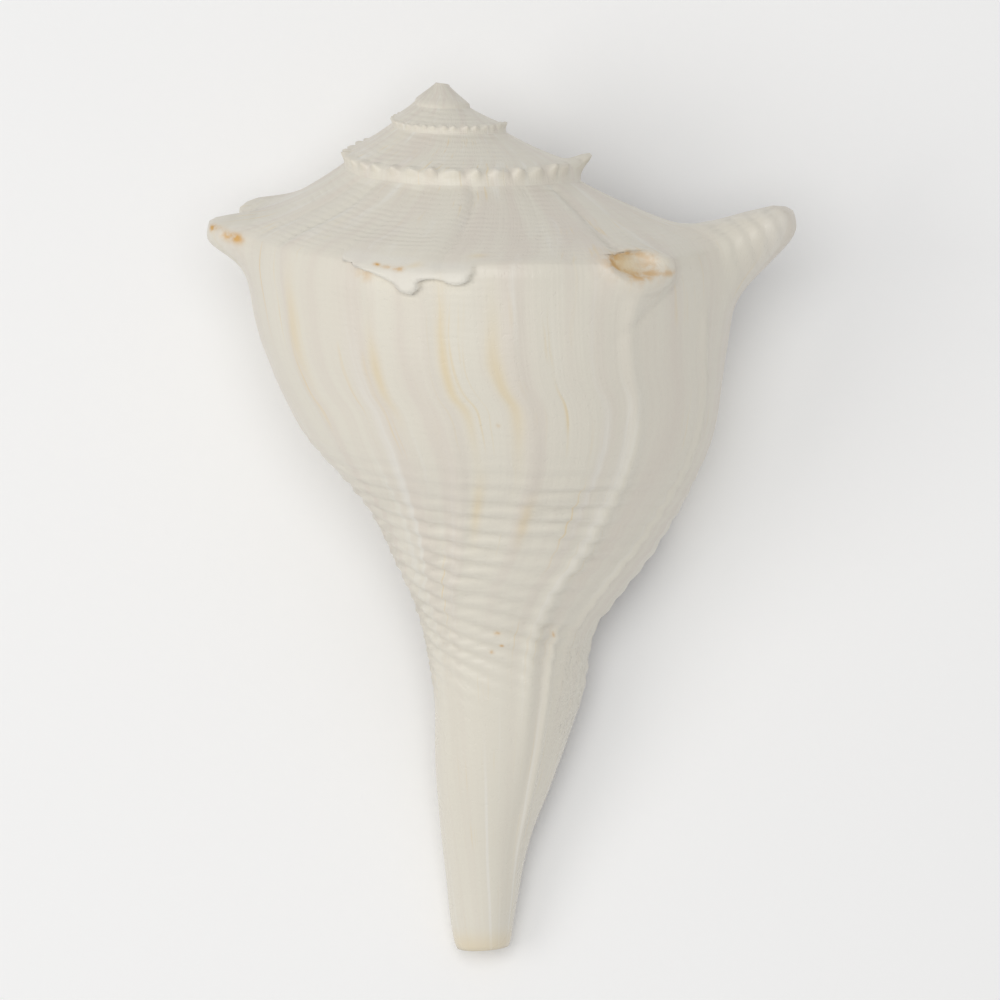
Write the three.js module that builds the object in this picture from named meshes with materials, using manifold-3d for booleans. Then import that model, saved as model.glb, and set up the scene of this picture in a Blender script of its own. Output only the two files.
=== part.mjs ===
// A left-handed whelk shell, lying on its opening, as it would be put down on a table.
// Millimetres, +Z up. The origin is on the table, under the middle of the shell; +Y points to the spire.
//
// The shell is one solid. Its outside is a logarithmic spiral: a keel that winds round the coiling
// axis and grows by the same factor each turn. Above the keel a ramp climbs to the turn before, and
// below it the body narrows to the long canal. The hollow inside follows the same spiral.
import * as THREE from "three";
import { mergeVertices } from "three/addons/utils/BufferGeometryUtils.js";
import Module from "manifold-3d";

// Driving dimensions of the coil. A turn is counted from the outer lip (0) back towards the apex.
const LENGTH = 222; // apex to the tip of the canal, along the coiling axis
const KEEL_AT_LIP = 75.6; // the keel's radius at the lip
const GROWTH = 2.07; // how many times wider the coil gets in one turn
const APEX_TURN = -4.4; // where the coil starts
const APEX_RUN = 0.5; // the turns over which it opens out from nothing
const APEX_FLAT = [1.5, 6.5]; // the keel's radius where the blunt apex ends and where the cone starts
const SPIRE_DROP = 0.84; // the keel lies SPIRE_DROP * radius ** SPIRE_POWER below the apex
const SPIRE_POWER = 0.93;
const RIM_DROP = 0.12; // depth of the rim below the keel, as a share of the keel's radius
const RAMP_SAG = 0.02; // how far the ramp above the keel dips, as a share of the keel's radius
const LIP_AZIMUTH = THREE.MathUtils.degToRad(113); // 0 is the back of the shell, which faces up

// The body's radius below the keel, as a share of the keel's radius, from the keel (0) to the tip (1):
// where the coil is half a turn old, and at the lip side.
const EARLY_TURN = -0.564;
const LATE_TURN = -0.064;
const GIRTH_EARLY = [
  [0, 1.0], [0.06, 0.985], [0.13, 0.96], [0.18, 0.91], [0.25, 0.82], [0.31, 0.68], [0.35, 0.54],
  [0.4, 0.41], [0.45, 0.33], [0.53, 0.21], [0.64, 0.165], [0.77, 0.195], [0.91, 0.175], [0.98, 0.15], [1, 0.12],
];
const GIRTH_LATE = [
  [0, 1.0], [0.08, 0.98], [0.14, 0.963], [0.2, 0.945], [0.27, 0.91], [0.34, 0.83], [0.41, 0.715],
  [0.46, 0.61], [0.51, 0.5], [0.55, 0.425], [0.64, 0.37], [0.76, 0.262], [0.86, 0.165], [0.96, 0.104],
  [0.985, 0.08], [1, 0.055],
];

// How far the lip runs ahead, in degrees, from the apex (0) to the tip (1). Every growth line follows it.
const LIP_SWAY = [[0, 0], [0.2, 0], [0.33, 3], [0.45, 7], [0.56, 1], [0.7, -1], [1, 3]];

// Knobs on the last turn of the keel: azimuth in degrees, how far they stand out, and how wide they are.
const KNOBS = [
  { azimuth: -161, reach: 6.7, width: 14 },
  { azimuth: -109, reach: 5, width: 13 },
  { azimuth: -82, reach: 9, width: 16 },
  { azimuth: -10, reach: 4, width: 17 },
  { azimuth: 47, reach: 6, width: 17 },
  { azimuth: 88, reach: 17, width: 18 },
];
const KNOB_SIDES = 12;
const KNOB_FOOT_SHARE = 1.3; // a knob's foot and tip, as shares of its width
const KNOB_TIP_SHARE = 0.6;
const KNOB_ROOT = 12; // how deep a knob is rooted inside the keel
const KNOB_RISE = 0.2; // how much a knob points to the spire, per mm of reach

// Small beads along the rims of the spire, one on every second column
const BEAD = 0.045; // how far they stand out, as a share of the keel's radius
const BEADS_FROM = -3.2;
const BEADS_TO = -1.05;

// The hollow
const WALL = 2.6;
const CALLUS = 0.4; // the hollow stays this far clear of the turn that it wraps
const HOLLOW_TURNS = 0.8; // how far in from the lip the hollow goes
const MOUTH_RUN_OUT = 0.03; // the cutter passes the lip by this part of a turn
const CANAL_CLOSES = 1.0; // the canal's floor rises by this share of the length per turn inwards
const CANAL_FLOOR = 0.45; // and stops at this share

// How the shell lies
const PITCH = THREE.MathUtils.degToRad(12.6); // the spire end is raised, and the tip of the canal touches
const ROLL = THREE.MathUtils.degToRad(-0.9); // the lip and a knob on the other side touch too

// Mesh density
const COLUMNS = 45; // per turn; APEX_TURN falls on a column
const RAMP_ROWS = 5;
const RIM_ROWS = 1;
const BODY_ROWS = 26;
const HOLLOW_ROWS = 20;

const COLOUR = new THREE.Color(0.86, 0.83, 0.76);

const clamp = THREE.MathUtils.clamp;
const lerp = THREE.MathUtils.lerp;
const smoothstep = THREE.MathUtils.smoothstep;

// A smooth curve through [x, y] points, with no overshoot between them.
function curve(points, x) {
  const last = points.length - 1;
  const at = clamp(x, points[0][0], points[last][0]);
  let i = 0;
  while (i < last - 1 && at > points[i + 1][0]) i++;
  const secant = (k) => (points[k + 1][1] - points[k][1]) / (points[k + 1][0] - points[k][0]);
  const slope = (k) => {
    if (k === 0) return secant(0);
    if (k === last) return secant(last - 1);
    const before = secant(k - 1);
    const after = secant(k);
    return before * after > 0 ? (2 * before * after) / (before + after) : 0;
  };
  const step = points[i + 1][0] - points[i][0];
  const f = (at - points[i][0]) / step;
  return (
    points[i][1] * (1 + 2 * f) * (1 - f) ** 2 +
    points[i + 1][1] * f * f * (3 - 2 * f) +
    step * f * (1 - f) * (slope(i) * (1 - f) - slope(i + 1) * f)
  );
}

function keelRadius(turn) {
  const opened = clamp((turn - APEX_TURN) / APEX_RUN, 0, 1);
  return KEEL_AT_LIP * GROWTH ** turn * Math.sqrt(opened);
}

function keelDepth(turn) {
  const radius = keelRadius(turn);
  return SPIRE_DROP * radius ** SPIRE_POWER * smoothstep(radius, ...APEX_FLAT);
}

// A point of the outside is { radius, depth } in the half plane of its turn; depth runs from the
// apex (0) to the tip (LENGTH). share runs down the body, from the keel (0) to the tip (1).
function body(turn, share) {
  const lateness = clamp((turn - EARLY_TURN) / (LATE_TURN - EARLY_TURN), 0, 1.15);
  const girth = lerp(curve(GIRTH_EARLY, share), curve(GIRTH_LATE, share), lateness);
  return {
    radius: keelRadius(turn) * girth,
    depth: lerp(keelDepth(turn), LENGTH, share),
  };
}

const rimShare = (turn) => (RIM_DROP * keelRadius(turn)) / (LENGTH - keelDepth(turn));

function ramp(turn, share) {
  const start = body(turn - 1, rimShare(turn - 1));
  const radius = keelRadius(turn);
  return {
    radius: lerp(start.radius, radius, share),
    depth: lerp(start.depth, keelDepth(turn), share) + RAMP_SAG * radius * 4 * share * (1 - share),
  };
}

const LAST_ROW = RAMP_ROWS + RIM_ROWS + BODY_ROWS;
const RIM_ROW = RAMP_ROWS + RIM_ROWS;

// Row 0 is the seam with the turn before, RAMP_ROWS is the keel, and LAST_ROW is the tip.
function outside(turn, row) {
  if (row <= RAMP_ROWS) return ramp(turn, row / RAMP_ROWS);
  if (row <= RIM_ROW) return body(turn, (rimShare(turn) * (row - RAMP_ROWS)) / RIM_ROWS);
  return body(turn, lerp(rimShare(turn), 1, (row - RIM_ROW) / BODY_ROWS));
}

function azimuth(turn, depth) {
  const sway = THREE.MathUtils.degToRad(curve(LIP_SWAY, depth / LENGTH));
  return LIP_AZIMUTH + 2 * Math.PI * turn + sway;
}

// The coiling axis is Y, with the apex at 0 and the tip at -LENGTH, and the back of the shell is up.
function place({ radius, depth }, turn) {
  const angle = azimuth(turn, depth);
  return [radius * Math.sin(angle), -depth, radius * Math.cos(angle)];
}

// Turns a list of triangles, each of three points, into a closed solid.
function solid(wasm, triangles) {
  const geometry = new THREE.BufferGeometry();
  geometry.setAttribute("position", new THREE.Float32BufferAttribute(triangles.flat(2), 3));
  const merged = mergeVertices(geometry, 1e-3);
  const corners = merged.index.array;
  const kept = [];
  for (let i = 0; i < corners.length; i += 3) {
    const [a, b, c] = corners.subarray(i, i + 3);
    if (a !== b && b !== c && c !== a) kept.push(a, b, c);
  }
  return new wasm.Manifold(
    new wasm.Mesh({
      numProp: 3,
      vertProperties: merged.attributes.position.array,
      triVerts: new Uint32Array(kept),
    }),
  );
}

const quad = (a, b, c, d) => [[a, b, c], [a, c, d]];

// The whole outside, from the apex to the lip, closed by a flat face across the mouth.
function outsideSolid(wasm) {
  const triangles = [];
  const steps = Math.round(-APEX_TURN * COLUMNS);
  const firstOpen = steps - COLUMNS; // the column where the body starts to show below the rim
  const at = (column, row) => {
    const turn = (column - steps) / COLUMNS;
    const point = outside(turn, row);
    const beaded = row === RAMP_ROWS && column % 2 === 0 && turn > BEADS_FROM && turn < BEADS_TO;
    if (beaded) {
      point.radius += BEAD * keelRadius(turn);
      point.depth -= BEAD * keelRadius(turn);
    }
    return place(point, turn);
  };
  for (let column = 0; column < steps; column++) {
    const rows = column < firstOpen ? RIM_ROW : LAST_ROW;
    for (let row = 0; row < rows; row++) {
      triangles.push(
        ...quad(at(column, row), at(column, row + 1), at(column + 1, row + 1), at(column + 1, row)),
      );
    }
  }
  const tip = [0, -LENGTH, 0];
  for (let column = firstOpen; column < steps; column++) {
    triangles.push([at(column + 1, LAST_ROW), at(column, LAST_ROW), tip]);
  }
  // The face across the mouth joins the lip's profile to the profile one turn earlier.
  const inner = (row) => at(firstOpen, Math.round(lerp(RIM_ROW, LAST_ROW, row / LAST_ROW)));
  for (let row = 0; row < LAST_ROW; row++) {
    triangles.push(...quad(at(steps, row), at(steps, row + 1), inner(row + 1), inner(row)));
  }
  triangles.push([at(steps, LAST_ROW), tip, inner(LAST_ROW)]);
  return solid(wasm, triangles);
}

// Moves a point of the outside inwards by the wall's thickness, square to the profile.
function inset(turn, row, distance) {
  const before = outside(turn, Math.max(row - 0.5, 0));
  const after = outside(turn, Math.min(row + 0.5, LAST_ROW));
  const here = outside(turn, row);
  const run = Math.hypot(after.radius - before.radius, after.depth - before.depth) || 1;
  return {
    radius: here.radius - (distance * (after.depth - before.depth)) / run,
    depth: here.depth + (distance * (after.radius - before.radius)) / run,
  };
}

// The section of the hollow: down the inside of the wall, and back up the turn that it wraps.
function hollowSection(turn) {
  const floor = Math.max(CANAL_FLOOR, 0.97 + CANAL_CLOSES * Math.min(turn, 0));
  const lastRow = lerp(RIM_ROW, LAST_ROW, floor);
  const wall = [];
  const pillar = [];
  for (let i = 0; i <= HOLLOW_ROWS; i++) {
    const f = i / HOLLOW_ROWS;
    const outer = inset(turn, lerp(0.6, lastRow, f), WALL);
    const inner = body(turn - 1, lerp(rimShare(turn - 1) * 1.4, floor, f));
    inner.radius += CALLUS;
    outer.radius = Math.max(outer.radius, inner.radius + 0.6);
    wall.push(outer);
    pillar.push(inner);
  }
  return [...wall, ...pillar.reverse()];
}

// The solid that is cut away to leave the hollow.
function hollowSolid(wasm) {
  const columns = Math.round((HOLLOW_TURNS + MOUTH_RUN_OUT) * COLUMNS);
  const triangles = [];
  const rings = [];
  for (let column = 0; column <= columns; column++) {
    const turn = lerp(-HOLLOW_TURNS, MOUTH_RUN_OUT, column / columns);
    rings.push(hollowSection(turn).map((p) => place(p, turn)));
  }
  const size = rings[0].length;
  for (let column = 0; column < columns; column++) {
    for (let i = 0; i < size; i++) {
      const next = (i + 1) % size;
      triangles.push(
        ...quad(rings[column][i], rings[column][next], rings[column + 1][next], rings[column + 1][i]),
      );
    }
  }
  for (const [ring, flip] of [[rings[0], true], [rings[columns], false]]) {
    for (let i = 0; i < HOLLOW_ROWS; i++) {
      const [a, b, c, d] = [ring[i], ring[i + 1], ring[size - 2 - i], ring[size - 1 - i]];
      triangles.push(...(flip ? quad(d, c, b, a) : quad(a, b, c, d)));
    }
  }
  return solid(wasm, triangles);
}

// One blunt knob, pointing out from the keel.
function knobSolid(wasm, { azimuth: degrees, reach, width }) {
  const angle = THREE.MathUtils.degToRad(degrees);
  const turn = (angle - LIP_AZIMUTH) / (2 * Math.PI);
  const height = KNOB_ROOT + reach;
  const half = width / 2;
  const profile = [
    new THREE.Vector2(0, 0),
    new THREE.Vector2(half * KNOB_FOOT_SHARE, 0),
    new THREE.Vector2(half * KNOB_FOOT_SHARE, KNOB_ROOT - 3),
    new THREE.Vector2(half, KNOB_ROOT),
    new THREE.Vector2(half * KNOB_TIP_SHARE, height - 1),
    new THREE.Vector2(half * KNOB_TIP_SHARE * 0.6, height),
    new THREE.Vector2(0, height),
  ];
  const lathe = new THREE.LatheGeometry(profile, KNOB_SIDES);
  const out = new THREE.Vector3(Math.sin(angle), KNOB_RISE, Math.cos(angle)).normalize();
  const keel = new THREE.Vector3(...place({ radius: keelRadius(turn), depth: keelDepth(turn) }, turn));
  const turnTo = new THREE.Quaternion().setFromUnitVectors(new THREE.Vector3(0, 1, 0), out);
  lathe.applyQuaternion(turnTo);
  const foot = keel.addScaledVector(out, -KNOB_ROOT);
  lathe.translate(foot.x, foot.y - half * 0.4, foot.z);
  const flat = lathe.toNonIndexed().getAttribute("position").array;
  const triangles = [];
  for (let i = 0; i < flat.length; i += 9) {
    triangles.push([0, 3, 6].map((k) => [flat[i + k], flat[i + k + 1], flat[i + k + 2]]));
  }
  return solid(wasm, triangles);
}

function geometryOf(manifold) {
  const mesh = manifold.getMesh();
  const geometry = new THREE.BufferGeometry();
  geometry.setAttribute("position", new THREE.Float32BufferAttribute(mesh.vertProperties, 3));
  geometry.setIndex(new THREE.Uint32BufferAttribute(mesh.triVerts, 1));
  return geometry;
}

const wasm = await Module();
wasm.setup();

let shellSolid = outsideSolid(wasm);
for (const knob of KNOBS) shellSolid = shellSolid.add(knobSolid(wasm, knob));
shellSolid = shellSolid.subtract(hollowSolid(wasm));

const geometry = geometryOf(shellSolid);
geometry.rotateY(ROLL);
geometry.rotateX(PITCH);
geometry.computeBoundingBox();
const { min, max } = geometry.boundingBox;
geometry.translate(-(min.x + max.x) / 2, -(min.y + max.y) / 2, -min.z);

const shell = new THREE.Mesh(
  geometry,
  new THREE.MeshStandardMaterial({ color: COLOUR, roughness: 0.45, metalness: 0 }),
);
shell.name = "whelk_shell";

const part = new THREE.Group();
part.add(shell);

export default part;
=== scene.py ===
import math

import bpy
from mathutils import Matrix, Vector


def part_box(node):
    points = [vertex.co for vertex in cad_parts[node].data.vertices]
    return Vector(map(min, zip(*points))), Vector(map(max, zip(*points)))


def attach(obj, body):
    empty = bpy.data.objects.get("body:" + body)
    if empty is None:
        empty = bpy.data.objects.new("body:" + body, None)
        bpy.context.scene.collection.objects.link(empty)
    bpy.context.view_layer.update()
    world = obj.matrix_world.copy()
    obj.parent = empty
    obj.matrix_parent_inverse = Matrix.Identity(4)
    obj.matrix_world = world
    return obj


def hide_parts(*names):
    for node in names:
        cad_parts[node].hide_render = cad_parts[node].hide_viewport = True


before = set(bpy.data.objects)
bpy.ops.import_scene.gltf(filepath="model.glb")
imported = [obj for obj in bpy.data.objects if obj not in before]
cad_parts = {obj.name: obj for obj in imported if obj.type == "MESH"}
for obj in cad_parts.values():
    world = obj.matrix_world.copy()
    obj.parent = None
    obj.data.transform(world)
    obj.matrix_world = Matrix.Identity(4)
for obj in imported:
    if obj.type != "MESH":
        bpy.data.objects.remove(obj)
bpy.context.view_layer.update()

# The coil, in millimetres and turns. A turn is counted from the outer lip (0) back to the apex.
LENGTH = 222.0
KEEL_AT_LIP = 75.6
GROWTH = 2.07
APEX_TURN = -4.4
APEX_RUN = 0.5
APEX_START = 0.035  # the coil starts from a point when it has opened by this share
APEX_FLAT = (1.5, 6.5)
SPIRE_DROP = 0.84
SPIRE_POWER = 0.93
RIM_DROP = 0.12
RAMP_SAG = 0.02
LIP_AZIMUTH = 113.0  # degrees; 0 is the back of the shell, which faces up
EARLY_TURN = -0.564
LATE_TURN = -0.064
WALL = 2.6
CALLUS = 0.4
HOLLOW_TURNS = 0.8
LIP_RADIUS = 65.0
EDGE_ROUND = 2.5
CANAL_CLOSES = 1.0
CANAL_FLOOR = 0.45

# The body's radius below the keel as a share of the keel's radius, from the keel (0) to the tip (1).
GIRTH_EARLY = [
    (0, 1.0), (0.06, 0.985), (0.13, 0.96), (0.18, 0.91), (0.25, 0.82), (0.31, 0.68), (0.35, 0.54),
    (0.4, 0.41), (0.45, 0.33), (0.53, 0.21), (0.64, 0.165), (0.77, 0.195), (0.91, 0.175), (0.97, 0.16),
    (0.996, 0.14), (1, 0.0),
]
GIRTH_LATE = [
    (0, 1.0), (0.08, 0.98), (0.14, 0.963), (0.2, 0.945), (0.27, 0.91), (0.34, 0.83), (0.41, 0.715),
    (0.46, 0.61), (0.51, 0.5), (0.55, 0.425), (0.64, 0.37), (0.76, 0.262), (0.86, 0.165), (0.96, 0.104),
    (0.996, 0.08), (1, 0.0),
]
# How far the lip, and so every growth line, runs ahead in degrees, from the apex (0) to the tip (1).
LIP_SWAY = [(0, 0), (0.2, 0), (0.33, 3), (0.45, 7), (0.56, 1), (0.7, -1), (1, 3)]

# How the shell lies on the table, and where its apex is in the shell's box
PITCH = math.radians(12.6)
ROLL = math.radians(-0.9)
APEX_FROM_LEFT = 0.06
APEX_FROM_TABLE = 0.0546

# Mesh density
SPIRE_TURNS = 3.5
TURN_COLUMNS = 320
RAMP_ROWS = 16
RIM_ROWS = 8
BODY_ROWS = 150
HOLLOW_COLUMNS = 36
WELD = 0.006  # points closer than this, in mm, are joined
COLUMN_SPACING = [(0, 0), (0.22, 0.3), (1, 1)]

# Knobs on the keel, each at its azimuth. out and down are how far it moves the shell, in mm; low is how
# far its middle lies below the keel; along and across are its half widths; flat makes its top flat.
# The last one, on the turn before, is the upturned spine at the right of the spire.
KNOBS = [
    dict(azimuth=-161, out=5.5, down=-0.5, low=1, along=8, across=7, flat=4),
    dict(azimuth=-109, out=6.5, down=-1.5, low=0, along=6.5, across=5.5, flat=4),
    dict(azimuth=-83, out=10.0, down=-2.0, low=1.5, along=8.5, across=7, flat=4.5),
    dict(azimuth=47, out=6, down=-0.5, low=1, along=11, across=9, flat=5),
    dict(azimuth=87, out=18, down=-9.0, low=1, along=9.5, across=10, flat=5),
    dict(azimuth=20, out=1.4, down=-0.8, low=1.5, along=17, across=4.5, flat=4),
    dict(azimuth=-268, out=4, down=-2.5, low=-1, along=3, across=2.2, flat=4),
]
KNOBS_SHOW = (-1.4, -1.2)  # the turns over which the knobs, flap and hole fade in
BAND_GAP = 3.3  # mm between the curved growth bands on the spines
BEADS_PER_TURN = 33.0
BEAD_HEIGHT = 0.06  # of the keel's radius
BEAD_WIDTH = 0.05
BEADS_START = (-3.4, -2.6)
BEADS_END = (-1.12, -1.02)
# The open end of the knob right of the middle
HOLE = dict(azimuth=45, low=0.3, along=6.2, across=4.2, flat=7)
HOLE_DEPTH = 5.0
# The worn flap left of the middle: how far it stands out, and its top and its torn lower edge, as
# (mm along the keel, mm below it)
FLAP_AZIMUTH = -6.5
FLAP_OUT = 2.5
FLAP_SPAN = 44.0
FLAP_TOP = [(-22, -3.4), (-20, -5.6), (-17, -6.4), (-7, -5.0), (2, -4.0), (22, -2.0)]
FLAP_EDGE = [
    (-22, -4.0), (-20.4, -2.0), (-15.5, 0.6), (-11.6, 1.8), (-5.4, 4.8), (-1.4, 7.4), (0.2, 4.0),
    (4.4, 3.1), (9.9, 4.8), (13.8, 2.4), (16.5, -2.0), (22, -4.0),
]
# Fine creases on the ramp: the growth line that each follows, and its depth and half width in mm
CREASES = [
    (-2, 0.5, 0.9), (40, 0.7, 1.2), (22, 0.2, 0.8), (-30, 0.35, 1.2), (-52, 0.5, 1.6), (-66, 0.45, 1.4),
]
# Raised growth ridges: azimuth at the keel, height and half width in mm, and the shares of the body that
# it runs between
RIDGES = [
    dict(azimuth=44, height=0.9, width=2.2, start=0.02, end=0.8),
    dict(azimuth=70, height=1.0, width=1.5, start=0.05, end=0.66),
    dict(azimuth=-6, height=0.45, width=1.8, start=-0.1, end=0.6),
    dict(azimuth=-19, height=0.4, width=2.2, start=0.0, end=0.5),
    dict(azimuth=-47, height=0.5, width=2.5, start=-0.1, end=0.4),
    dict(azimuth=15, height=0.35, width=2.0, start=0.0, end=0.5),
    dict(azimuth=57, height=0.9, width=1.3, start=0.5, end=0.99),
    dict(azimuth=-105, height=0.7, width=2.5, start=0.0, end=0.7),
    dict(azimuth=-140, height=0.6, width=2.0, start=0.0, end=0.7),
    dict(azimuth=-185, height=0.6, width=2.5, start=0.0, end=0.7),
]
# Spiral cords round the lower body and finer threads above and below them, in mm
CORD_PITCH = 4.6
CORD_HEIGHT = 0.8
RAMP_THREADS = 2.1
BODY_THREADS = 2.6
# The slanting crease below the hole: where it starts, as (azimuth, mm below the keel), and how far it runs
# along the keel and down, in mm
SLANT_START = (61.0, 4.5)
SLANT = (-24.0, 17.0)
SLANT_LENGTH = math.hypot(*SLANT)
SLANT_DEPTH = 0.6
BODY_STARTS = (-1.0, -0.97)  # the turns over which the last whorl's own relief fades in
LIP_STARTS = (-0.012, 0.0)  # and out again at the lip
RAMP_SWEEP = 18.0  # degrees that a growth line runs ahead at the seam, compared with the keel

# Colours of the shell, as light reflected
CREAM = (0.80, 0.76, 0.66)
BLUSH = (0.75, 0.68, 0.60)
CHALK = (0.86, 0.84, 0.78)
STRAW = (0.80, 0.66, 0.42)
RUST = (0.68, 0.39, 0.11)
GLAZE = (0.82, 0.72, 0.58)
# Yellow streaks along the growth lines: (growth line, share of the body) of the middle, half widths in the
# same units, and strength
STREAKS = [
    ((-1.0, 0.15), (1.4, 0.09), 0.7),
    ((-20.0, 0.16), (1.5, 0.05), 0.6),
    ((-45.0, 0.11), (2.0, 0.06), 0.5),
    ((11.0, 0.17), (1.6, 0.09), 0.6),
    ((0.0, 0.35), (1.8, 0.04), 0.5),
    ((17.0, 0.37), (2.0, 0.03), 0.5),
    ((-8.0, -0.06), (2.0, 0.03), 0.4),
    ((6.0, -0.13), (2.2, 0.03), 0.4),
]
# Rust-brown stains: (degrees, mm below the keel), half widths in the same units, and strength
STAINS = [
    ((-16.5, -1.9), (0.8, 0.8), 1.0),
    ((-10.5, -0.6), (1.2, 0.9), 0.8),
    ((-13.0, -1.2), (3.0, 0.9), 0.4),
    ((-20.0, 4.0), (2.2, 1.8), 0.3),
    ((-78, 0.2), (2.0, 1.2), 0.9),
    ((-73, 1.6), (2.2, 1.4), 1.0),
    ((52, 4.2), (3.0, 0.9), 0.4),
    ((21, 98), (2.2, 0.5), 0.7),
    ((24, 101), (1.4, 0.4), 0.7),
    ((18, 103), (1.4, 0.4), 0.6),
    ((54, 97), (0.9, 0.5), 0.7),
    ((12, 42), (0.5, 0.5), 0.8),
]


class Field:
    """A number that varies over a surface. Arithmetic on it adds Math nodes to its tree."""

    def __init__(self, tree, socket):
        self.tree = tree
        self.socket = socket

    def __add__(self, other):
        return maths("ADD", self, other)

    def __radd__(self, other):
        return maths("ADD", self, other)

    def __sub__(self, other):
        return maths("SUBTRACT", self, other)

    def __rsub__(self, other):
        return maths("SUBTRACT", other, self)

    def __mul__(self, other):
        return maths("MULTIPLY", self, other)

    def __rmul__(self, other):
        return maths("MULTIPLY", self, other)

    def __truediv__(self, other):
        return maths("DIVIDE", self, other)

    def __rtruediv__(self, other):
        return maths("DIVIDE", other, self)

    def __pow__(self, other):
        return maths("POWER", self, other)

    def __rpow__(self, other):
        return maths("POWER", other, self)

    def __neg__(self):
        return maths("MULTIPLY", self, -1.0)


def feed(value, socket, tree):
    """Gives a socket a field, or a plain value."""
    if isinstance(value, Field):
        tree.links.new(value.socket, socket)
    else:
        socket.default_value = value


def maths(operation, *values):
    tree = next(v.tree for v in values if isinstance(v, Field))
    node = tree.nodes.new("ShaderNodeMath")
    node.operation = operation
    for value, socket in zip(values, node.inputs):
        feed(value, socket, tree)
    return Field(tree, node.outputs[0])


def least(a, b):
    return maths("MINIMUM", a, b)


def most(a, b):
    return maths("MAXIMUM", a, b)


def clamp(value, low=0.0, high=1.0):
    return least(most(value, low), high)


def blend(a, b, share):
    return a + (b - a) * share


def ease(value, start, end):
    """0 before start and 1 after end, with a smooth rise between them."""
    share = clamp((value - start) / (end - start))
    return share * share * (3.0 - 2.0 * share)


def hump(distance, flat=2.0):
    """1 at distance 0, half at 1, and less beyond. A larger flat gives a flatter top."""
    return 1.0 / (1.0 + distance ** flat)


def bell(distance):
    return maths("EXPONENT", -(distance * distance))


def curve(points, value):
    """A smooth curve through (x, y) points."""
    node = value.tree.nodes.new("ShaderNodeFloatCurve")
    mapping = node.mapping
    mapping.use_clip = False
    line = mapping.curves[0]
    line.points[0].location = points[0]
    line.points[1].location = points[-1]
    for point in points[1:-1]:
        line.points.new(*point)
    for point in line.points:
        point.handle_type = "AUTO_CLAMPED"
    mapping.update()
    value.tree.links.new(value.socket, node.inputs["Value"])
    return Field(value.tree, node.outputs[0])


def vector(x, y, z):
    tree = next(v.tree for v in (x, y, z) if isinstance(v, Field))
    node = tree.nodes.new("ShaderNodeCombineXYZ")
    for value, socket in zip((x, y, z), node.inputs):
        feed(value, socket, tree)
    return Field(tree, node.outputs[0])


def parts_of(field):
    node = field.tree.nodes.new("ShaderNodeSeparateXYZ")
    field.tree.links.new(field.socket, node.inputs[0])
    return [Field(field.tree, socket) for socket in node.outputs]


def noise(place, size, detail=2.0, roughness=0.5):
    """Random values around 0, from about -0.5 to 0.5, in patches of about that size."""
    node = place.tree.nodes.new("ShaderNodeTexNoise")
    feed(place, node.inputs["Vector"], place.tree)
    node.inputs["Scale"].default_value = 1.0 / size
    node.inputs["Detail"].default_value = detail
    node.inputs["Roughness"].default_value = roughness
    return Field(place.tree, node.outputs[0]) - 0.5


# ---- The shell's growth, as geometry nodes ----


def node_of(tree, kind, settings=None, **inputs):
    node = tree.nodes.new(kind)
    for name, value in (settings or {}).items():
        setattr(node, name, value)
    for name, value in inputs.items():
        socket = node.inputs[name.replace("_", " ")]
        if isinstance(value, Field):
            tree.links.new(value.socket, socket)
        elif isinstance(value, bpy.types.NodeSocket):
            tree.links.new(value, socket)
        else:
            socket.default_value = value
    return node


def store(tree, geometry, name, value, domain="POINT", kind="FLOAT"):
    node = node_of(tree, "GeometryNodeStoreNamedAttribute", dict(data_type=kind, domain=domain),
                   Geometry=geometry, Name=name, Value=value)
    return node.outputs[0]


def recall(tree, name):
    node = node_of(tree, "GeometryNodeInputNamedAttribute", dict(data_type="FLOAT"), Name=name)
    return Field(tree, node.outputs[0])


def sheet(tree, across, down):
    """A flat grid of faces, and each point's two shares along it, from 0 to 1."""
    node = node_of(tree, "GeometryNodeMeshGrid", Vertices_X=across + 1, Vertices_Y=down + 1)
    spot = tree.nodes.new("GeometryNodeInputPosition")
    x, y, _ = parts_of(Field(tree, spot.outputs[0]))
    return node.outputs["Mesh"], x + 0.5, y + 0.5


def spaced_turn(turn):
    """Packs the columns more closely on the side of each turn that faces up."""
    whole = maths("FLOOR", turn)
    return whole + curve(COLUMN_SPACING, turn - whole)


def row_place(row):
    """0 to 1 up the ramp to the keel, 1 to 2 down the rim, and 2 to 3 down the body to the tip."""
    ramp = clamp(row / RAMP_ROWS)
    rim = clamp((row - RAMP_ROWS) / RIM_ROWS)
    body = clamp((row - RAMP_ROWS - RIM_ROWS) / BODY_ROWS)
    return ramp + rim + body


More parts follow.
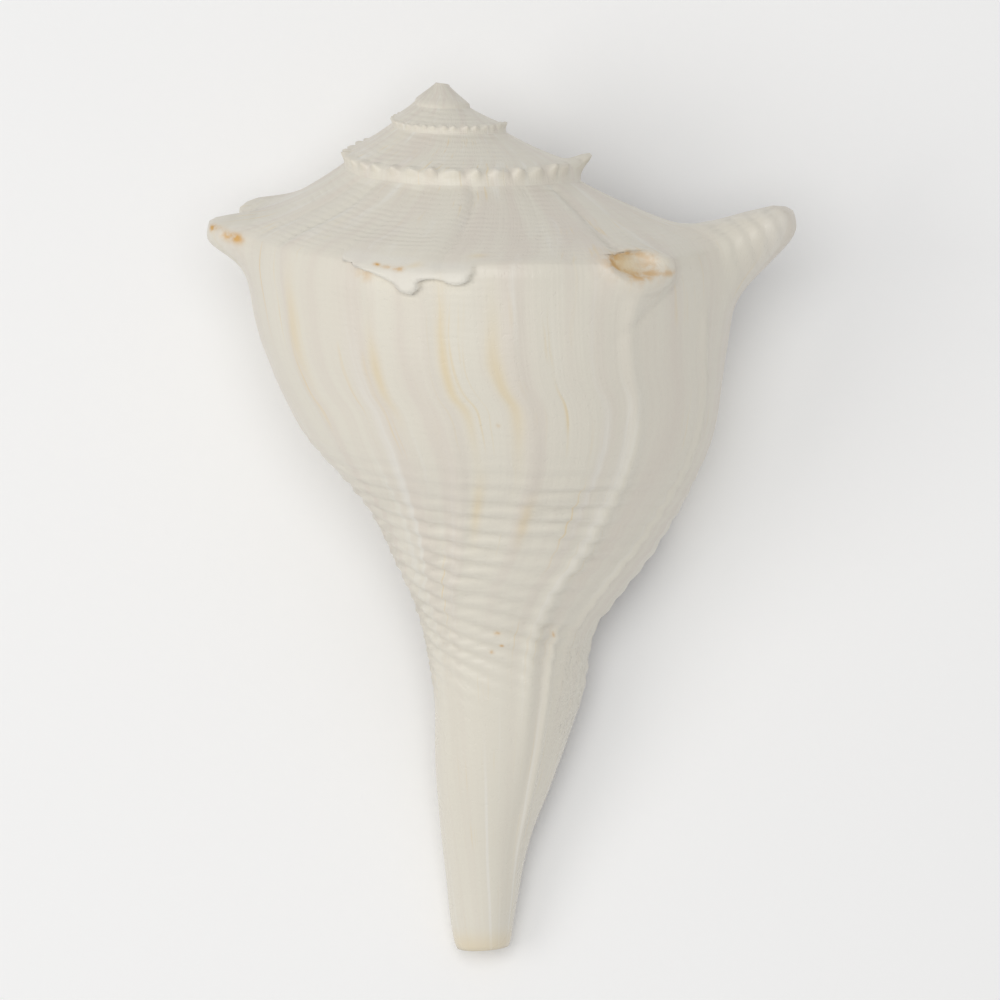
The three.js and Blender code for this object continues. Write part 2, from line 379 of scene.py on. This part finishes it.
class Coil:
    """The rule of the spiral: where a place down the profile lies at a turn.

    size_turn sets how big the coil is there, and turn sets which way it points.
    """

    def __init__(self, turn, place, size_turn=None, floor=1.0):
        size_turn = turn if size_turn is None else size_turn
        self.keel_radius = self.keel(size_turn)
        keel_drop = self.drop_of(self.keel_radius)
        before = self.keel(size_turn - 1.0)
        drop_before = self.drop_of(before)
        rim = self.rim(self.keel_radius, keel_drop)
        rim_before = self.rim(before, drop_before)
        self.share = rim * clamp(place - 1.0) + (1.0 - rim) * clamp(place - 2.0) * floor
        body_radius = self.keel_radius * self.girth(size_turn, self.share)
        body_drop = blend(keel_drop, LENGTH, self.share)
        seam_radius = before * self.girth(size_turn - 1.0, rim_before)
        seam_drop = blend(drop_before, LENGTH, rim_before)
        up_ramp = clamp(place)
        sag = self.keel_radius * (4.0 * RAMP_SAG) * up_ramp * (1.0 - up_ramp)
        self.radius = blend(seam_radius, body_radius, up_ramp)
        self.drop = blend(seam_drop, body_drop, up_ramp) + sag
        run = body_radius - seam_radius
        fall = body_drop - seam_drop
        ramp_length = maths("SQRT", run * run + fall * fall)
        self.below_keel = self.share * (LENGTH - keel_drop) - (1.0 - up_ramp) * ramp_length
        self.azimuth = turn * 360.0 + LIP_AZIMUTH + curve(LIP_SWAY, self.drop / LENGTH)
        self.up_ramp = up_ramp
        self.place = place
        self.growth_line = turn * 360.0 + LIP_AZIMUTH - (1.0 - up_ramp) * RAMP_SWEEP

    @staticmethod
    def keel(turn):
        opened = clamp((turn - APEX_TURN) / APEX_RUN)
        started = maths("GREATER_THAN", opened, APEX_START)
        return KEEL_AT_LIP * GROWTH ** turn * maths("SQRT", opened) * started

    @staticmethod
    def drop_of(radius):
        return SPIRE_DROP * radius ** SPIRE_POWER * ease(radius, *APEX_FLAT)

    @staticmethod
    def rim(radius, drop):
        return RIM_DROP * radius / (LENGTH - drop)

    @staticmethod
    def girth(turn, share):
        late = clamp((turn - EARLY_TURN) / (LATE_TURN - EARLY_TURN), 0.0, 1.15)
        return blend(curve(GIRTH_EARLY, share), curve(GIRTH_LATE, share), late)


def knob_shape(coil, azimuth, low, along, across, flat):
    """1 at the middle of a knob, falling to nothing past its half widths."""
    beside = (coil.azimuth - azimuth) * coil.keel_radius * math.radians(1) / along
    below = (coil.below_keel - low) / across
    return hump(maths("SQRT", beside * beside + below * below), flat)


def flap_shape(coil):
    """1 on the flap, with a sharp torn edge below and a softer one above."""
    beside = (coil.azimuth - FLAP_AZIMUTH) * coil.keel_radius * math.radians(1)
    along = beside / FLAP_SPAN + 0.5
    top = curve([(0.5 + x / FLAP_SPAN, y) for x, y in FLAP_TOP], along)
    edge = curve([(0.5 + x / FLAP_SPAN, y) for x, y in FLAP_EDGE], along)
    ends = ease(beside, -21.5, -19.5) * (1.0 - ease(beside, 10.0, 18.0))
    above = ease(coil.below_keel - top, -1.0, 1.0)
    return above * ends * (1.0 - ease(coil.below_keel - edge, -0.8, 0.8))


def knob_shapes(coil, turn):
    """Each knob's shape, with its settings."""
    big = ease(turn, *KNOBS_SHOW)
    names = ("azimuth", "low", "along", "across", "flat")
    return [(knob, knob_shape(coil, **{name: knob[name] for name in names}) * big) for knob in KNOBS]


def wear(coil, turn, knobs):
    """For the material: the flap, the hole, and how far up a knob a point is, in mm."""
    big = ease(turn, *KNOBS_SHOW)
    level = 0.0
    for knob, shape in knobs:
        level = shape * knob["out"] + level
    return vector(flap_shape(coil) * big, knob_shape(coil, **HOLE) * big, level)


def shoulder(coil, turn, knobs):
    """How far the knobs, beads and the rounding of the keel move the shell, outwards and down, in mm."""
    big = ease(turn, *KNOBS_SHOW)
    flap = flap_shape(coil) * big
    out = flap * FLAP_OUT - knob_shape(coil, **HOLE) * big * HOLE_DEPTH
    down = flap * 1.5
    for knob, shape in knobs:
        out = out + shape * knob["out"]
        down = down + shape * knob["down"]
    # The rounding of the keel
    size = coil.keel_radius
    corner = clamp(1.0 - maths("ABSOLUTE", coil.below_keel) / (size * 0.17))
    cut = corner * corner * size * 0.036
    # The beads along the rims of the spire, which differ in size
    count = turn * BEADS_PER_TURN
    beads = maths("SINE", (count + noise(vector(turn, 0.0, 0.0), 0.05) * 1.5) * (2.0 * math.pi)) * 0.5 + 0.5
    band = bell((coil.below_keel / size + 0.01) / BEAD_WIDTH)
    rows = ease(turn, *BEADS_START) * (1.0 - ease(turn, *BEADS_END))
    uneven = 0.8 + noise(vector(count * 0.6, 0.0, 0.0), 1.0) * 1.8
    bead = beads * band * rows * uneven * size * BEAD_HEIGHT
    # Nothing moves where a whorl meets the one before
    foot = 1.0 - ease(coil.place, 1.75, 1.98) * (1.0 - ease(turn, *BODY_STARTS))
    free = foot * ease(coil.place, 0.02, 0.3)
    return (out - cut * 0.87 + bead) * free, (down + cut * 0.5 - bead * 0.9) * free


def worn_patch(growth_line, share):
    """1 on the rough, pitted patch to the right of the canal's start."""
    return ease(growth_line, 55, 70) * ease(share, 0.5, 0.58) * (1.0 - ease(share, 0.66, 0.76))


def relief(coil, turn, position):
    """The low folds, ridges and cords of the outside, in mm."""
    last = ease(turn, *BODY_STARTS) * (1.0 - ease(turn, *LIP_STARTS))
    narrow = clamp(coil.radius / 55.0)
    wobble = noise(vector(coil.drop, turn * 8.0, 0.0), 22.0) * 5.0
    heights = 0.0
    for ridge in RIDGES:
        beside = (coil.growth_line - ridge["azimuth"] + wobble) * coil.radius * math.radians(1)
        run = ease(coil.share, ridge["start"], ridge["start"] + 0.06)
        run = run * (1.0 - ease(coil.share, ridge["end"] - 0.2, ridge["end"]))
        heights = bell(beside / ridge["width"]) * run * ridge["height"] + heights
    wavy = noise(position, 14.0, 3.0) * 3.2
    height = coil.drop / GROWTH ** (turn * 0.5)
    cords = maths("SINE", (height + wavy) * (2.0 * math.pi / CORD_PITCH))
    where = ease(coil.share, 0.25, 0.36) * (1.0 - ease(coil.share, 0.54, 0.68))
    where = where * (1.0 - ease(turn, -0.22, -0.08) * 0.7)
    uneven = clamp(0.8 + noise(position, 18.0) * 2.0)
    # The slanting crease below the hole
    along_keel = (coil.azimuth - SLANT_START[0]) * coil.keel_radius * math.radians(1)
    below = coil.below_keel - SLANT_START[1]
    off = (along_keel * SLANT[1] - below * SLANT[0]) / SLANT_LENGTH
    run = (along_keel * SLANT[0] + below * SLANT[1]) / SLANT_LENGTH ** 2
    slanting = bell(off) * ease(run, 0.0, 0.15) * (1.0 - ease(run, 0.7, 1.05))
    heights = heights - slanting * SLANT_DEPTH
    on_ramp = 1.0 - ease(coil.up_ramp, 0.9, 1.0)
    for growth_line, depth, half_width in CREASES:
        beside = (coil.growth_line - growth_line + wobble * 0.4) * coil.radius * math.radians(1)
        heights = heights - bell(beside / half_width) * on_ramp * depth
    folds = noise(vector(coil.growth_line * 0.055, coil.drop * 0.012, 0.0), 1.0) * 0.75
    lines = noise(vector(coil.growth_line * 0.3, coil.drop * 0.02, 4.0), 1.0) * 0.1
    narrow = narrow * (1.0 - ease(coil.share, 0.35, 0.6))
    dents = noise(position, 40.0) * 1.2
    heights = heights + noise(position, 5.0, 3.0) * worn_patch(coil.growth_line, coil.share) * 1.4
    return (cords * where * uneven * CORD_HEIGHT + heights + (folds + lines) * narrow + dents) * last


def place_point(coil, turn, knobs, keep=1.0):
    """The point in space, in mm, with the coiling axis along Y and the apex at the origin."""
    out, down = shoulder(coil, turn, knobs)
    angle = coil.azimuth * math.radians(1)
    radius = coil.radius + out * keep
    return vector(radius * maths("SINE", angle), -(coil.drop + down * keep), radius * maths("COSINE", angle))


def along_normal(tree, mesh, distance):
    facing = tree.nodes.new("GeometryNodeInputNormal")
    move = node_of(tree, "ShaderNodeVectorMath", dict(operation="SCALE"),
                   Vector=facing.outputs[0], Scale=distance)
    return node_of(tree, "GeometryNodeSetPosition", Geometry=mesh, Offset=move.outputs[0]).outputs[0]


def weld(tree, mesh):
    return node_of(tree, "GeometryNodeMergeByDistance", Geometry=mesh, Distance=WELD).outputs[0]


def join(tree, *meshes):
    node = tree.nodes.new("GeometryNodeJoinGeometry")
    for mesh in meshes:
        tree.links.new(mesh, node.inputs[0])
    return node.outputs[0]


def store_growth(tree, mesh, coil, turn, inside):
    """Keeps, for the material, where each face lies on the growing shell."""
    lie = vector(coil.growth_line, coil.share - (1.0 - coil.up_ramp), inside)
    mesh = store(tree, mesh, "growth", lie, "CORNER", "FLOAT_VECTOR")
    size = vector(coil.drop / GROWTH ** turn, coil.below_keel, coil.azimuth)
    return store(tree, mesh, "size", size, "CORNER", "FLOAT_VECTOR")


def outside_sheet(tree, first_turn, turns, rows):
    """One strip of the outside, from a turn onwards and from the seam down over some rows."""
    mesh, down, across = sheet(tree, rows, round(turns * TURN_COLUMNS))
    turn = spaced_turn(across * turns + first_turn)
    place = row_place(down * rows)
    coil = Coil(turn, place)
    knobs = knob_shapes(coil, turn)
    point = place_point(coil, turn, knobs)
    mesh = store_growth(tree, mesh, coil, turn, 0.0)
    mesh = store(tree, mesh, "wear", wear(coil, turn, knobs), "CORNER", "FLOAT_VECTOR")
    mesh = store(tree, mesh, "height", relief(coil, turn, point))
    return node_of(tree, "GeometryNodeSetPosition", Geometry=mesh, Position=point).outputs[0]


def hollow_sheet(tree, wall, callus, edge_round):
    """The inside, as a tube that winds in from the lip: down the wall, and back up the turn before."""
    all_rows = RAMP_ROWS + RIM_ROWS + BODY_ROWS
    ring_rows = 2 * all_rows + 1 - RAMP_ROWS - RIM_ROWS
    mesh, across, round_ring = sheet(tree, HOLLOW_COLUMNS, ring_rows)
    left = 1.0 - across
    turn = left * left * -HOLLOW_TURNS
    ring = round_ring * ring_rows
    on_pillar = maths("GREATER_THAN", ring, all_rows + 0.5)
    row = blend(ring, 2.0 * all_rows + 1.0 - ring, on_pillar)
    # At its far end the tube is pinched shut, a little below the seam
    closing = maths("LESS_THAN", turn, 0.001 - HOLLOW_TURNS)
    place = most(row_place(row), closing * 2.03)
    from_edge = clamp(turn * (-2.0 * math.pi * LIP_RADIUS) / edge_round)
    inside = maths("SQRT", clamp(1.0 - (1.0 - from_edge) ** 2.0))
    floor = most(1.0 - inside * 0.03 + turn * CANAL_CLOSES, CANAL_FLOOR)
    coil = Coil(turn, place, turn - most(on_pillar, closing), floor)
    own_turn = turn - on_pillar
    point = place_point(coil, own_turn, knob_shapes(coil, own_turn), 1.0 - inside)
    thin = 1.0 - ease(coil.share, 0.5, 0.95) * 0.65
    inset = blend(wall * thin, callus, on_pillar) * inside * (1.0 - closing)
    mesh = store_growth(tree, mesh, coil, turn, inside)
    mesh = store(tree, mesh, "inset", inset)
    mesh = node_of(tree, "GeometryNodeSetPosition", Geometry=mesh, Position=point).outputs[0]
    return along_normal(tree, weld(tree, mesh), recall(tree, "inset"))


def growth_tree():
    tree = bpy.data.node_groups.new("whelk_growth", "GeometryNodeTree")
    for name in ("Wall", "Callus", "Edge round"):
        tree.interface.new_socket(name=name, in_out="INPUT", socket_type="NodeSocketFloat")
    tree.interface.new_socket(name="Material", in_out="INPUT", socket_type="NodeSocketMaterial")
    tree.interface.new_socket(name="Geometry", in_out="OUTPUT", socket_type="NodeSocketGeometry")
    given = tree.nodes.new("NodeGroupInput").outputs
    wall, callus, edge_round = [Field(tree, given[name]) for name in ("Wall", "Callus", "Edge round")]
    spire = outside_sheet(tree, -1.0 - SPIRE_TURNS, SPIRE_TURNS, RAMP_ROWS + RIM_ROWS)
    last_turn = outside_sheet(tree, -1.0, 1.0, RAMP_ROWS + RIM_ROWS + BODY_ROWS)
    outside = weld(tree, join(tree, spire, last_turn))
    outside = along_normal(tree, outside, recall(tree, "height"))
    hollow = hollow_sheet(tree, wall, callus, edge_round)
    shell = weld(tree, join(tree, outside, hollow))
    low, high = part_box("whelk_shell")
    apex = (low[0] + APEX_FROM_LEFT, high[1], low[2] + APEX_FROM_TABLE)
    rolled = node_of(tree, "GeometryNodeTransform", Geometry=shell,
                     Rotation=(0.0, ROLL, 0.0), Scale=(0.001, 0.001, 0.001))
    raised = node_of(tree, "GeometryNodeTransform", Geometry=rolled.outputs[0],
                     Rotation=(PITCH, 0.0, 0.0), Translation=apex)
    smooth = node_of(tree, "GeometryNodeSetShadeSmooth", Geometry=raised.outputs[0])
    real = node_of(tree, "GeometryNodeRealizeInstances", Geometry=smooth.outputs[0])
    finished = node_of(tree, "GeometryNodeSetMaterial", Geometry=real.outputs[0], Material=given["Material"])
    out = tree.nodes.new("NodeGroupOutput")
    tree.links.new(finished.outputs[0], out.inputs[0])
    return tree


def grow_shell(material):
    tree = growth_tree()
    seed = bpy.data.objects.new("seed", bpy.data.meshes.new("seed"))
    bpy.context.scene.collection.objects.link(seed)
    growth = seed.modifiers.new("growth", "NODES")
    growth.node_group = tree
    sizes = {"Wall": WALL, "Callus": CALLUS, "Edge round": EDGE_ROUND, "Material": material}
    for item in tree.interface.items_tree:
        if item.in_out == "INPUT":
            growth[item.identifier] = sizes[item.name]
    seen = seed.evaluated_get(bpy.context.evaluated_depsgraph_get())
    mesh = bpy.data.meshes.new_from_object(seen)
    seed.modifiers.remove(growth)
    bpy.data.objects.remove(seed)
    mesh.name = "shell_surface"
    shell = bpy.data.objects.new("shell_surface", mesh)
    bpy.context.scene.collection.objects.link(shell)
    return shell


# ---- Materials ----


def new_material(name):
    material = bpy.data.materials.new(name)
    material.use_nodes = True
    tree = material.node_tree
    return material, tree, tree.nodes["Principled BSDF"]


def mix_colour(tree, first, second, share):
    node = tree.nodes.new("ShaderNodeMix")
    node.data_type = "RGBA"
    feed(share, node.inputs[0], tree)
    for value, socket in ((first, node.inputs[6]), (second, node.inputs[7])):
        if isinstance(value, Field):
            tree.links.new(value.socket, socket)
        else:
            socket.default_value = (*value, 1.0)
    return Field(tree, node.outputs[2])


def bump(tree, heights):
    """Stacks (height, depth in mm) pairs into one bumped normal."""
    normal = None
    for height, depth in heights:
        node = tree.nodes.new("ShaderNodeBump")
        node.inputs["Distance"].default_value = depth * 0.001
        feed(height, node.inputs["Height"], tree)
        if normal is not None:
            tree.links.new(normal, node.inputs["Normal"])
        normal = node.outputs[0]
    return normal


def attribute(tree, name):
    node = tree.nodes.new("ShaderNodeAttribute")
    node.attribute_name = name
    return Field(tree, node.outputs["Vector"])


def spot_at(line, below, middle, half_widths):
    """1 at a place given in degrees and in mm below the keel, fading out past its half widths."""
    across = (line - middle[0]) / half_widths[0]
    down = (below - middle[1]) / half_widths[1]
    return bell(maths("SQRT", across * across + down * down))


def shell_material():
    material, tree, surface = new_material("shell")
    where = tree.nodes.new("ShaderNodeTexCoord")
    spot = node_of(tree, "ShaderNodeVectorMath", dict(operation="SCALE"),
                   Vector=where.outputs["Object"], Scale=1000.0)
    spot = Field(tree, spot.outputs[0])
    line, share, inside = parts_of(attribute(tree, "growth"))
    height, below, azimuth = parts_of(attribute(tree, "size"))
    flap, hole, level = parts_of(attribute(tree, "wear"))
    # Bands of colour along the growth lines, each a little different
    wander = line + noise(spot, 30.0) * 6.0
    bands = noise(vector(wander * 0.1, share * 0.8, 0.0), 1.0, 3.0) + 0.5
    fine = noise(vector(wander * 0.45, share * 2.0, 3.0), 1.0, 3.0) + 0.5
    even = 1.0 - ease(share, 0.4, 0.62) * 0.65
    pink = ease(bands, 0.42, 0.66) * 0.6 + ease(fine, 0.5, 0.75) * 0.15
    colour = mix_colour(tree, CREAM, BLUSH, pink * even)
    chalk = ease(noise(vector(wander * 0.14, share * 1.4, 7.0), 1.0, 3.0) + 0.5, 0.55, 0.75)
    colour = mix_colour(tree, colour, CHALK, most(chalk * 0.6, ease(flap, 0.3, 0.9) * 0.35))
    streaks = noise(vector(wander * 0.55, share * 3.0, 11.0), 1.0, 2.0) + 0.5
    patches = noise(spot, 26.0) + 0.5
    yellow = ease(streaks, 0.58, 0.75) * ease(patches, 0.45, 0.62)
    colour = mix_colour(tree, colour, STRAW, yellow * 0.7)
    for middle, half_widths, strength in STREAKS:
        colour = mix_colour(tree, colour, STRAW, spot_at(wander, share, middle, half_widths) * strength)
    colour = mix_colour(tree, colour, STRAW, ease(share, 0.955, 0.99) * patches * 0.8)
    stain = 0.0
    for middle, half_widths, strength in STAINS:
        stain = spot_at(azimuth, below, middle, half_widths) * strength + stain
    in_hole = ease(hole, 0.4, 0.9) * (1.0 - ease(azimuth, 43.0, 50.0))
    colour = mix_colour(tree, colour, STRAW, in_hole * 0.8)
    rim = hole * (1.0 - hole) * 2.6 + ease(hole, 0.5, 1.0) * 0.2
    stain = rim * (1.0 - ease(azimuth, 44.0, 52.0) * 0.6) + stain
    grain = noise(spot, 2.5, 3.0) + 0.5
    colour = mix_colour(tree, colour, RUST, clamp(stain * (0.3 + ease(grain, 0.35, 0.65))))
    colour = mix_colour(tree, colour, GLAZE, inside * 0.85)
    tree.links.new(colour.socket, surface.inputs["Base Color"])
    rough = 0.42 + (noise(spot, 12.0, 4.0)) * 0.25 - ease(share, 0.5, 0.7) * 0.16 - inside * 0.15
    tree.links.new(rough.socket, surface.inputs["Roughness"])
    # Fine relief: spiral threads, growth lines and grain
    shake = noise(spot, 9.0, 3.0) * 2.4
    on_ramp = 1.0 - ease(share, -0.12, -0.02)
    ramp_threads = maths("SINE", (below + shake) * (2.0 * math.pi / RAMP_THREADS)) * on_ramp
    body_threads = maths("SINE", (height + shake) * (2.0 * math.pi / BODY_THREADS)) * (1.0 - on_ramp)
    smooth_canal = 1.0 - ease(share, 0.6, 0.72)
    faint = ease(noise(spot, 15.0, 2.0) + 0.5, 0.3, 0.6)
    threads = (ramp_threads + body_threads * 0.3 * smooth_canal) * faint * (1.0 - inside) * (1.0 - flap)
    growth_lines = noise(vector(line * 0.9, share * 2.0, 0.0), 1.0, 4.0) * (1.0 - ease(share, 0.25, 0.55))
    rough_patch = (noise(spot, 1.6, 4.0) + 0.5) * worn_patch(line, share)
    pits = ease(noise(spot, 1.1, 2.0) + 0.5, 0.55, 0.8)
    spine_bands = maths("SINE", (level + noise(spot, 12.0) * 2.0) * (2.0 * math.pi / BAND_GAP))
    spine_bands = spine_bands * ease(level, 0.8, 2.5)
    normal = bump(tree, [
        (threads, 0.04),
        (growth_lines, 0.12),
        (grain, 0.07),
        (pits, -0.05),
        (rough_patch, 0.6),
        (spine_bands, 0.14),
    ])
    tree.links.new(normal, surface.inputs["Normal"])
    return material


def floor_material():
    material, _, surface = new_material("floor")
    surface.inputs["Base Color"].default_value = (0.99, 0.99, 0.99, 1.0)
    surface.inputs["Roughness"].default_value = 0.8
    return material


# ---- The stage ----

FLOOR_HALF = 3.0
WINDOW = dict(place=(-1.0, -0.1, 1.1), size=0.8, power=3.7, colour=(1.0, 0.98, 0.95))
CEILING = dict(place=(-0.1, 0.03, 1.7), size=1.0, power=8.2, colour=(1.0, 1.0, 1.0))
ROOM_LIGHT = 0.49
LENS = 392.5
CAMERA_TILT = math.radians(4.3)
CAMERA_TURN = math.radians(-3.275)
CAMERA_DISTANCE = 2.74
CAMERA_TARGET = (-0.0045, 0.0037, 0.045)


def make_floor():
    half = FLOOR_HALF
    mesh = bpy.data.meshes.new("floor")
    corners = [(-half, -half, 0.0), (half, -half, 0.0), (half, half, 0.0), (-half, half, 0.0)]
    mesh.from_pydata(corners, [], [(0, 1, 2, 3)])
    mesh.materials.append(floor_material())
    floor = bpy.data.objects.new("floor", mesh)
    bpy.context.scene.collection.objects.link(floor)


def area_light(name, place, size, power, colour):
    light = bpy.data.lights.new(name, "AREA")
    light.shape = "DISK"
    light.size = size
    light.energy = power
    light.color = colour
    lamp = bpy.data.objects.new(name, light)
    lamp.location = place
    away = Vector(place) - Vector((0.0, 0.0, 0.04))
    lamp.rotation_euler = away.to_track_quat("Z", "Y").to_euler()
    bpy.context.scene.collection.objects.link(lamp)


def light_scene():
    area_light("window", **WINDOW)
    area_light("ceiling", **CEILING)
    bpy.context.scene.view_settings.view_transform = "Standard"
    world = bpy.data.worlds.new("room")
    world.use_nodes = True
    world.node_tree.nodes["Background"].inputs["Color"].default_value = (1.0, 1.0, 1.0, 1.0)
    world.node_tree.nodes["Background"].inputs["Strength"].default_value = ROOM_LIGHT
    bpy.context.scene.world = world


def make_camera():
    camera = bpy.data.cameras.new("camera")
    camera.clip_end = 10.0
    camera.lens = LENS
    eye = bpy.data.objects.new("camera", camera)
    eye.rotation_euler = (CAMERA_TILT, 0.0, CAMERA_TURN)
    away = eye.rotation_euler.to_matrix() @ Vector((0.0, 0.0, CAMERA_DISTANCE))
    eye.location = Vector(CAMERA_TARGET) + away
    bpy.context.scene.collection.objects.link(eye)
    bpy.context.scene.camera = eye


shell = grow_shell(shell_material())
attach(shell, "root")
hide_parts("whelk_shell")
make_floor()
light_scene()
make_camera()
